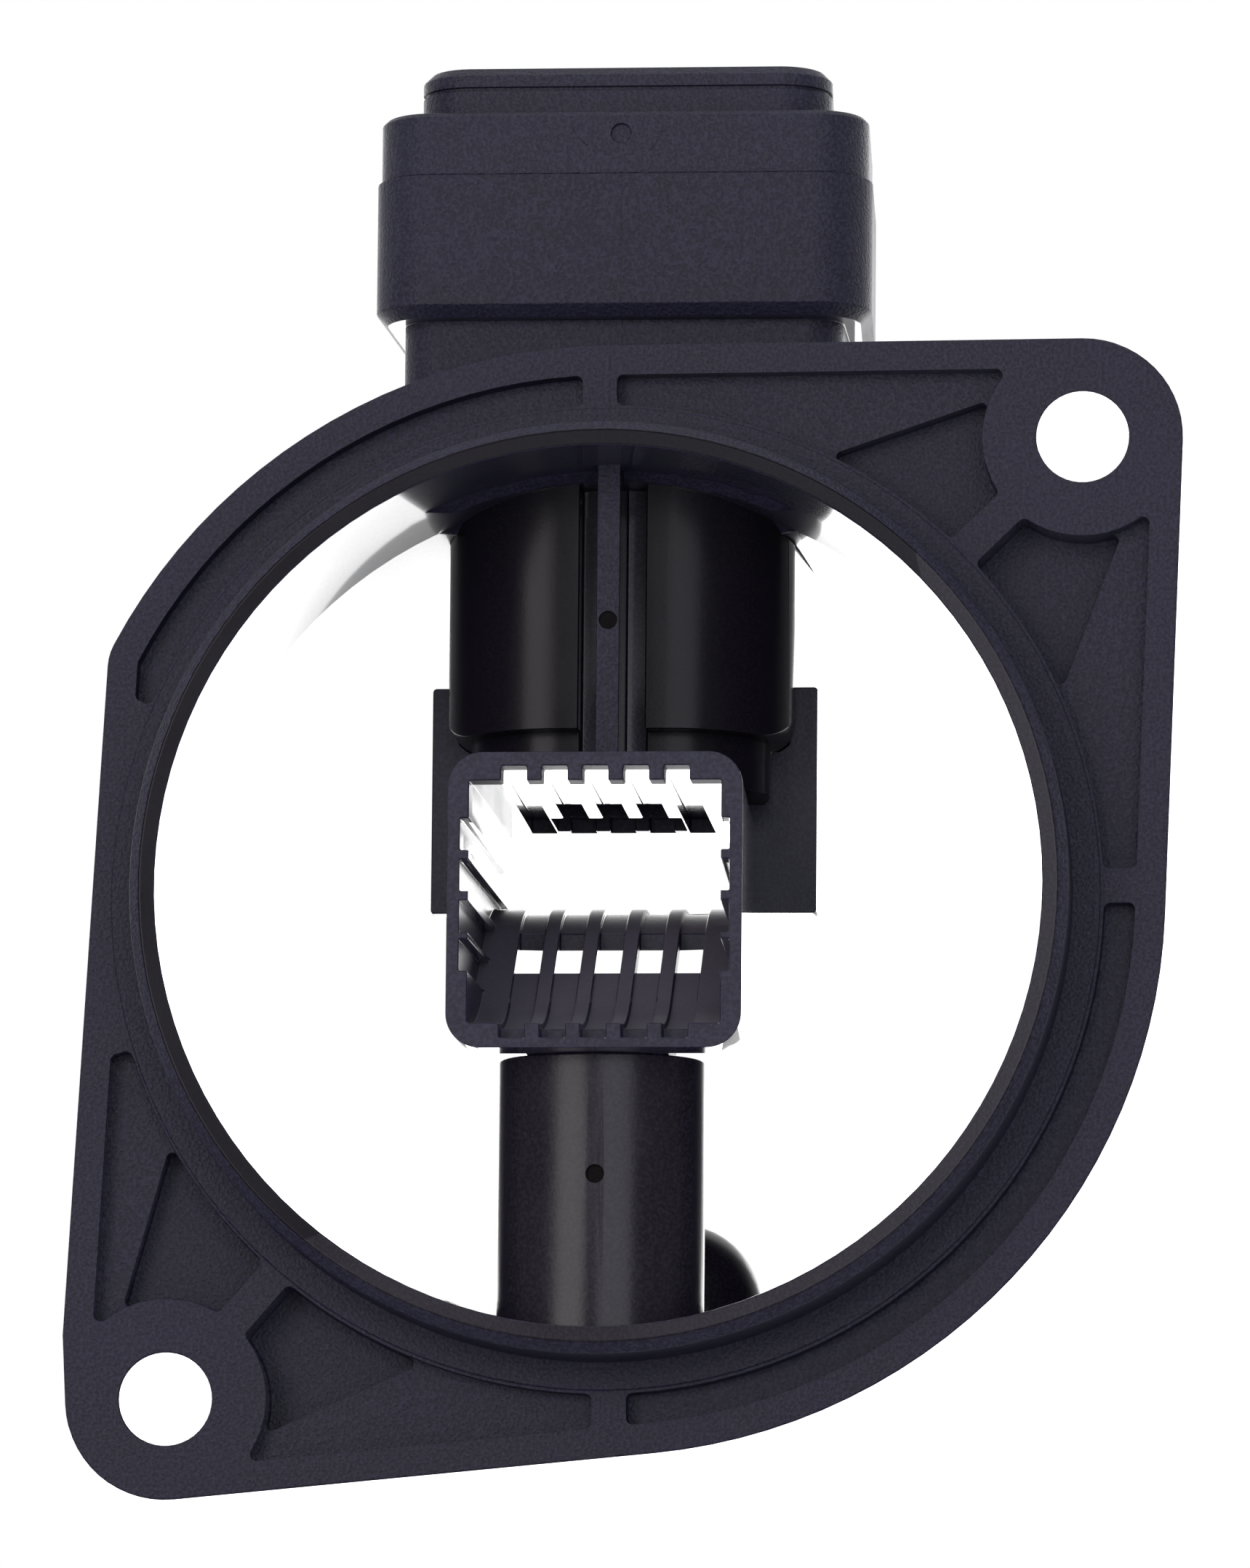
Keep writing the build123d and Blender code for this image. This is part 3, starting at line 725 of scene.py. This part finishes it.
@dataclass
class Housing(Moulding):
    """Duct, flange, neck, electronics box and columns, moulded in one.

    Attributes:
        wall_radii: Radii between which the bore's wall lies.
        column_reach: Radius within which all of a column's faces lie.
        bolt_circle: Distance of the bolt holes from the bore's axis.
        bolt_angles: Their directions in degrees, from the right towards the top.
        bolt_hole: Radius within which a bolt hole's wall lies.
        upright: Largest part along the bore of the direction of such a wall.
        underside: Heights between which the electronics box's underside lies.
        pins: Places of the two pin marks on the columns' fronts.
        pin_reach: Distance from such a place within which a pin mark's faces lie.
        rib_half: Half the width of the rib on the upper column.
        groove_half: Half the width of the rib with the grooves beside it.
        rim_turn: Least part to the right or downwards of the direction of a glossy rim face.
        rim_radius: Radius beyond which the flange's rim lies.
        rim_depth: Depths between which it lies.
        step_rings: For each of the bore's steps, its depth and the depth its taper ends at.
        step_beyond: Distance to the side of the axis beyond which a step is drawn out.
        ring_reach: Distance from a step's depth within which its points lie.
    """

    node: str = "housing"
    finishes: tuple[MouldedBlack, ...] = (
        MouldedBlack("housing_grained", marks=(SeamMark(x=0.1, above=34.6, ahead=11.3),)),
        MouldedBlack(
            "housing_drawn",
            rough=0.13,
            grain_depth_mm=0.004,
            drawn_depth_mm=0.0015,
            coat=0.8,
            roof_mm=(12.0, 27.0),
        ),
        MouldedBlack(
            "housing_satin",
            (0.0130, 0.0110, 0.0170),
            (0.0300, 0.0265, 0.0390),
            rough=0.23,
            grain_depth_mm=0.006,
        ),
        MouldedBlack(
            "housing_pin",
            (0.004, 0.003, 0.004),
            (0.008, 0.006, 0.006),
            grain_depth_mm=0.01,
            specular=0.1,
        ),
        # Painted shade: the upper lobes get a darker colour and less gloss, standing in for the
        # shadow they lie in inside the duct.
        MouldedBlack(
            "housing_lobe_painted_shade",
            (0.008, 0.007, 0.011),
            (0.012, 0.011, 0.016),
            rough=0.24,
            grain_depth_mm=0.006,
            specular=0.3,
        ),
    )
    wall_radii: Span = (31.3, 34.4)
    column_reach: float = 36.0
    bolt_circle: float = 50.2
    bolt_angles: Span = (44.2, 229.3)
    bolt_hole: float = 3.7
    upright: float = 0.3
    underside: Span = (45.8, 47.0)
    pins: tuple[Vector, ...] = (Vector((0, 1.2, 21.3)), Vector((0, -6.1, -21.8)))
    pin_reach: float = 0.85
    rib_half: float = 1.0
    groove_half: float = 2.6
    rim_turn: float = 0.3
    rim_radius: float = 40.0
    rim_depth: Span = (0.2, 4.8)
    step_rings: tuple[Span, ...] = ((4.6, 9.4), (10.5, 24.0))
    step_beyond: float = 13.2
    ring_reach: float = 0.05

    def shape(self, work: bmesh.types.BMesh) -> None:
        """Draws the bore's two steps out into slow tapers beside the columns.

        Args:
            work: The merged mesh.
        """
        for vert in work.verts:
            spot = vert.co / MM
            if abs(spot.x) > self.step_beyond and math.hypot(spot.x, spot.z) < self.wall_radii[1]:
                for ring, target in self.step_rings:
                    if abs(spot.y - ring) < self.ring_reach:
                        vert.co.y = target * MM

    def zone(self, face: bmesh.types.BMFace) -> Zone:
        """Says which finish a face gets.

        Args:
            face: A face of the merged mesh.

        Returns:
            The face's zone.
        """
        centre, normal = face.calc_center_median() / MM, face.normal
        radius = math.hypot(centre.x, centre.z)
        for pin in self.pins:
            if all((vert.co / MM - pin).length < self.pin_reach for vert in face.verts):
                return Zone.SPECIAL
        for angle in self.bolt_angles:
            across = centre.x - self.bolt_circle * math.cos(math.radians(angle))
            up = centre.z - self.bolt_circle * math.sin(math.radians(angle))
            if math.hypot(across, up) < self.bolt_hole and abs(normal.y) < self.upright:
                return Zone.DRAWN
        inward = -(normal.x * centre.x + normal.z * centre.z) / max(radius, 1.0)
        if self.wall_radii[0] < radius < self.wall_radii[1] and inward > self.facing:
            return Zone.DRAWN
        if normal.z < -self.facing and self.underside[0] < centre.z < self.underside[1]:
            return Zone.DRAWN
        reach = max(math.hypot(vert.co.x, vert.co.z) for vert in face.verts) / MM
        if radius < self.wall_radii[0] and reach < self.column_reach:
            in_groove = centre.z > 0 and abs(centre.x) < self.groove_half
            if in_groove and normal.y < -self.facing:
                return Zone.GRAINED if abs(centre.x) < self.rib_half else Zone.DRAWN
            # Faces above the axis get the darker lobe finish, which is painted shade.
            return Zone.SHADED if centre.z > 0 else Zone.SATIN
        on_rim = radius > self.rim_radius and self.rim_depth[0] < centre.y < self.rim_depth[1]
        if on_rim and (normal.x > self.rim_turn or normal.z < -self.rim_turn):
            return Zone.DRAWN
        return Zone.GRAINED


@dataclass
class FlowChannel(Moulding):
    """The measuring scoop with its notched mouth and grooved ramp.

    Attributes:
        inner_half: Half the scoop's inner width.
        side_groove: Depth of the grooves in its side walls.
        ceiling: Heights between which its ceiling's ribs and grooves lie.
        ramp_top: Height below which the ramp's faces lie.
        ramp_rise: Least upward part of the direction of a face of the ramp.
        shaded_mouth: Depth at which the ceiling turns from grained to glossy.
    """

    node: str = "flow_channel"
    finishes: tuple[MouldedBlack, ...] = (
        MouldedBlack("channel_grained", rough=0.44, grain_depth_mm=0.018),
        MouldedBlack("channel_drawn", rough=0.14, grain_depth_mm=0.003, coat=1.0),
        MouldedBlack("channel_satin", rough=0.25, grain_depth_mm=0.006),
        # Painted light: the ramp's colour is far lighter than the black plastic, standing in for
        # light that falls through the scoop onto it.
        MouldedBlack(
            "channel_ramp_painted_light",
            (0.125, 0.116, 0.150),
            (0.150, 0.140, 0.180),
            rough=0.36,
            grain_depth_mm=0.012,
        ),
    )
    edge: float = 0.12
    crisp_behind: float = 19.3
    inner_half: float = 9.6
    side_groove: float = 0.7
    ceiling: Span = (7.0, 9.0)
    ramp_top: float = 2.5
    ramp_rise: float = 0.1
    shaded_mouth: float = -6.8

    def shape(self, work: bmesh.types.BMesh) -> None:
        """Cuts the walls across behind the mouth, where the ceiling's finish changes.

        Args:
            work: The merged mesh.
        """
        bmesh.ops.bisect_plane(
            work,
            geom=[*work.verts, *work.edges, *work.faces],
            dist=self.merge * MM,
            plane_co=(0, self.shaded_mouth * MM, 0),
            plane_no=(0, 1, 0),
        )

    def zone(self, face: bmesh.types.BMFace) -> Zone:
        """Says which finish a face gets.

        Args:
            face: A face of the merged mesh.

        Returns:
            The face's zone.
        """
        centre, normal = face.calc_center_median() / MM, face.normal
        inside = abs(centre.x) < self.inner_half
        down = normal.z < -self.facing
        at_ceiling = inside and self.ceiling[0] < centre.z < self.ceiling[1]
        if at_ceiling and (down or abs(normal.x) > self.facing):
            return Zone.DRAWN if centre.y > self.shaded_mouth else Zone.GRAINED
        if down or (normal.x > self.facing and centre.x > self.inner_half):
            return Zone.DRAWN
        # The ramp's faces get the finish with painted light.
        if inside and centre.z < self.ramp_top and normal.z > self.ramp_rise:
            return Zone.SPECIAL
        if normal.x * centre.x < 0 and abs(centre.x) < self.inner_half + self.side_groove:
            return Zone.SATIN
        return Zone.GRAINED


@dataclass
class Lid(Moulding):
    """The electronics box's lid with its raised tier."""

    node: str = "lid"
    finishes: tuple[MouldedBlack, ...] = (
        MouldedBlack(
            "lid_grained",
            rough=0.46,
            marks=(
                ArcMark(centre=(-0.6, 62.6), radius=3.4, span=(-3.9, -2.6), above=59.2, ahead=9.8),
                ArcMark(centre=(0.3, 61.6), radius=2.9, span=(2.1, 3.3), above=59.4, ahead=9.8),
            ),
        ),
    )


@dataclass
class InnerPieces:
    """The electronics, sensing element, seals and terminals, which keep their solids' shapes."""

    finishes: dict[str, PlainFinish] = field(
        default_factory=lambda: {
            "lid_seal": SILICONE,
            "carrier_gasket": SILICONE,
            "base_plate": ROLLED_ALUMINIUM,
            "circuit_board": PRINTED_CERAMIC,
            "signal_chip": CHIP_RESIN,
            "driver_chip": CHIP_RESIN,
            "capacitor": FIRED_CERAMIC,
            "resistor": RESISTOR_GLAZE,
            "bond_strip": BOND_FOIL,
            "heated_film": FILM_GLAZE,
            "reference_film": FILM_GLAZE,
            "air_thermistor": GLASS_BEAD,
            "thermistor_lead": DRAWN_WIRE,
            "terminal": TINNED_BRASS,
            "sensor_carrier": CARRIER_BLACK,
        }
    )

    def dress_all(self, nodes: dict[str, bpy.types.Object]) -> None:
        """Dresses every solid that no other class replaces.

        Args:
            nodes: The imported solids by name.
        """
        made: dict[str, bpy.types.Material] = {}
        for name, piece in nodes.items():
            for finish in [f for prefix, f in self.finishes.items() if name.startswith(prefix)]:
                if finish.name not in made:
                    made[finish.name] = finish.material()
                for slot in piece.material_slots:
                    slot.material = made[finish.name]
                log.info("%s: %s", name, finish.name)


@dataclass(frozen=True)
class Softbox:
    """A flat soft lamp that faces the part.

    The direction is given as seen from the part: azimuth from the air inlet's side towards the
    right, and elevation above level. Size and distance are in metres.
    """

    name: str
    azimuth: float
    elevation: float
    distance: float
    width: float
    height: float
    radiance: float
    tint: Colour = (1.0, 1.0, 1.0)

    def build(self) -> None:
        """Adds the lamp."""
        lamp = bpy.data.lights.new(self.name, "AREA")
        lamp.shape = "RECTANGLE"
        lamp.size = self.width
        lamp.size_y = self.height
        lamp.energy = self.radiance * math.pi * self.width * self.height
        lamp.color = self.tint
        holder = bpy.data.objects.new(self.name, lamp)
        bpy.context.scene.collection.objects.link(holder)
        azimuth, elevation = math.radians(self.azimuth), math.radians(self.elevation)
        towards = Vector((math.sin(azimuth), -math.cos(azimuth), math.tan(elevation))).normalized()
        holder.location = towards * self.distance
        holder.rotation_euler = (-towards).to_track_quat("-Z", "Y").to_euler()
        holder.visible_camera = False


@dataclass
class Studio:
    """Camera, white surround, soft lamps and floor. Places are in metres.

    Attributes:
        eye: The camera's place.
        right: The camera's direction to the right, before its small turns.
        up: The camera's upward direction, before its small turns.
        roll_degrees: The camera's turn about its line of sight.
        turn_right: Its turn to the right, in radians.
        soft_light: Strength of the surround as soft light on the part.
        soft_tint: The colour of that light.
        gloss_turn: How far a reflection points to the rear, from its dark to its white end.
        gloss_light: What a reflection shows at those two ends.
    """

    eye: Vector = field(default_factory=lambda: Vector((0.0670, -0.7957, -0.1165)))
    right: Vector = field(default_factory=lambda: Vector((0.99664, 0.08194, 0.0)))
    up: Vector = field(default_factory=lambda: Vector((0.0127, -0.1542, 0.98796)))
    roll_degrees: float = 0.5
    turn_right: float = -0.00010
    focal_mm: float = 245.8
    sensor_mm: float = 36.0
    far_clip: float = 20.0
    floor_drop_mm: float = 2.0
    floor_radius: float = 1.0
    floor_corners: int = 128
    floor_colour: Colour = (0.92, 0.92, 0.92)
    floor_rough: float = 0.9
    soft_light: float = 0.45
    soft_tint: Colour = (0.97, 0.96, 1.0)
    gloss_turn: Span = (0.2, 0.75)
    gloss_light: Span = (0.07, 1.0)
    lamps: tuple[Softbox, ...] = (
        Softbox("left_softbox", -27.0, 9.0, 1.0, 0.46, 0.70, 1.90, (1.0, 0.94, 0.95)),
        Softbox("right_softbox", 12.0, 9.0, 1.0, 0.52, 0.70, 1.20, (0.92, 0.92, 1.0)),
        Softbox("top_softbox", 0.0, 84.0, 1.1, 0.90, 0.90, 0.80),
        Softbox("far_left_softbox", -105.0, 20.0, 1.2, 0.80, 0.80, 0.45),
        Softbox("far_right_softbox", 105.0, 20.0, 1.2, 0.80, 0.80, 0.45),
        Softbox("back_softbox", 180.0, 5.5, 1.5, 1.90, 1.16, 2.60),
    )

    def build(self, low: Vector) -> None:
        """Builds the studio round the part.

        Args:
            low: The part's lowest corner.
        """
        self.build_camera()
        self.build_world()
        self.build_floor(low.z - self.floor_drop_mm * MM)
        for lamp in self.lamps:
            lamp.build()
        bpy.context.scene.view_settings.view_transform = "Standard"
        log.info("studio: %d softboxes", len(self.lamps))

    def build_camera(self) -> None:
        """Places the camera at the photograph's viewing angle."""
        camera = bpy.data.cameras.new("camera")
        camera.lens = self.focal_mm
        camera.sensor_width = self.sensor_mm
        camera.clip_end = self.far_clip
        holder = bpy.data.objects.new("camera", camera)
        bpy.context.scene.collection.objects.link(holder)
        right = self.right.normalized()
        back = right.cross(self.up).normalized()
        up = back.cross(right)
        back = (back - right * self.turn_right).normalized()
        roll = math.radians(self.roll_degrees)
        right = right * math.cos(roll) + up * math.sin(roll)
        up = back.cross(right).normalized()
        right = up.cross(back)
        turn = Matrix((right, up, back)).transposed().to_4x4()
        holder.matrix_world = Matrix.Translation(self.eye) @ turn
        bpy.context.scene.camera = holder

    def build_world(self) -> None:
        """Makes a surround that is white to the eye, and white in gloss only behind the part."""
        world = bpy.data.worlds.new("surround")
        world.use_nodes = True
        tree = world.node_tree
        tree.nodes.clear()
        output = tree.nodes.new("ShaderNodeOutputWorld")
        seen = tree.nodes.new("ShaderNodeBackground")
        light = tree.nodes.new("ShaderNodeBackground")
        light.inputs["Color"].default_value = (*self.soft_tint, 1)
        light.inputs["Strength"].default_value = self.soft_light
        mix = tree.nodes.new("ShaderNodeMixShader")
        path = tree.nodes.new("ShaderNodeLightPath")
        split = tree.nodes.new("ShaderNodeSeparateXYZ")
        tree.links.new(tree.nodes.new("ShaderNodeTexCoord").outputs["Generated"], split.inputs[0])
        shade = tree.nodes.new("ShaderNodeMapRange")
        for name, number in zip(RANGE_SOCKETS, (*self.gloss_turn, *self.gloss_light)):
            shade.inputs[name].default_value = number
        tree.links.new(split.outputs["Y"], shade.inputs["Value"])
        to_eye = path.outputs["Is Camera Ray"]
        tree.links.new(larger(tree, shade.outputs[0], to_eye), seen.inputs["Color"])
        rays = larger(tree, to_eye, path.outputs["Is Glossy Ray"])
        tree.links.new(larger(tree, rays, path.outputs["Is Transmission Ray"]), mix.inputs[0])
        tree.links.new(light.outputs[0], mix.inputs[1])
        tree.links.new(seen.outputs[0], mix.inputs[2])
        tree.links.new(mix.outputs[0], output.inputs[0])
        bpy.context.scene.world = world

    def build_floor(self, height: float) -> None:
        """Lays the plain pale floor, which a view from below and the part's gloss look through.

        Args:
            height: The floor's height in metres.
        """
        mesh = bpy.data.meshes.new("floor")
        work = bmesh.new()
        bmesh.ops.create_circle(
            work, cap_ends=True, segments=self.floor_corners, radius=self.floor_radius
        )
        bmesh.ops.translate(work, verts=work.verts, vec=(0, 0, height))
        work.to_mesh(mesh)
        work.free()
        floor = bpy.data.objects.new("floor", mesh)
        bpy.context.scene.collection.objects.link(floor)
        graph = Graph("floor_paper")
        graph.set(Base_Color=(*self.floor_colour, 1), Roughness=self.floor_rough)
        tree = graph.tree
        clear = tree.nodes.new("ShaderNodeBsdfTransparent")
        side = tree.nodes.new("ShaderNodeNewGeometry")
        mix = tree.nodes.new("ShaderNodeMixShader")
        path = tree.nodes.new("ShaderNodeLightPath")
        through = larger(tree, side.outputs["Backfacing"], path.outputs["Is Glossy Ray"])
        tree.links.new(larger(tree, through, path.outputs["Is Shadow Ray"]), mix.inputs[0])
        tree.links.new(graph.shader.outputs[0], mix.inputs[1])
        tree.links.new(clear.outputs[0], mix.inputs[2])
        tree.links.new(mix.outputs[0], graph.output.inputs[0])
        floor.data.materials.append(graph.material)
        floor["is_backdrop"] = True


def main() -> None:
    """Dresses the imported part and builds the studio."""
    logging.basicConfig(level=logging.INFO, format="%(name)s: %(message)s")
    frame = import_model()
    solid_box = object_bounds()
    nodes = frame["nodes"]
    for moulding in (Housing(), FlowChannel(), Lid()):
        moulding.build(nodes)
    InnerPieces().dress_all(nodes)
    Studio().build(solid_box[0])


if __name__ == "__main__":
    main()
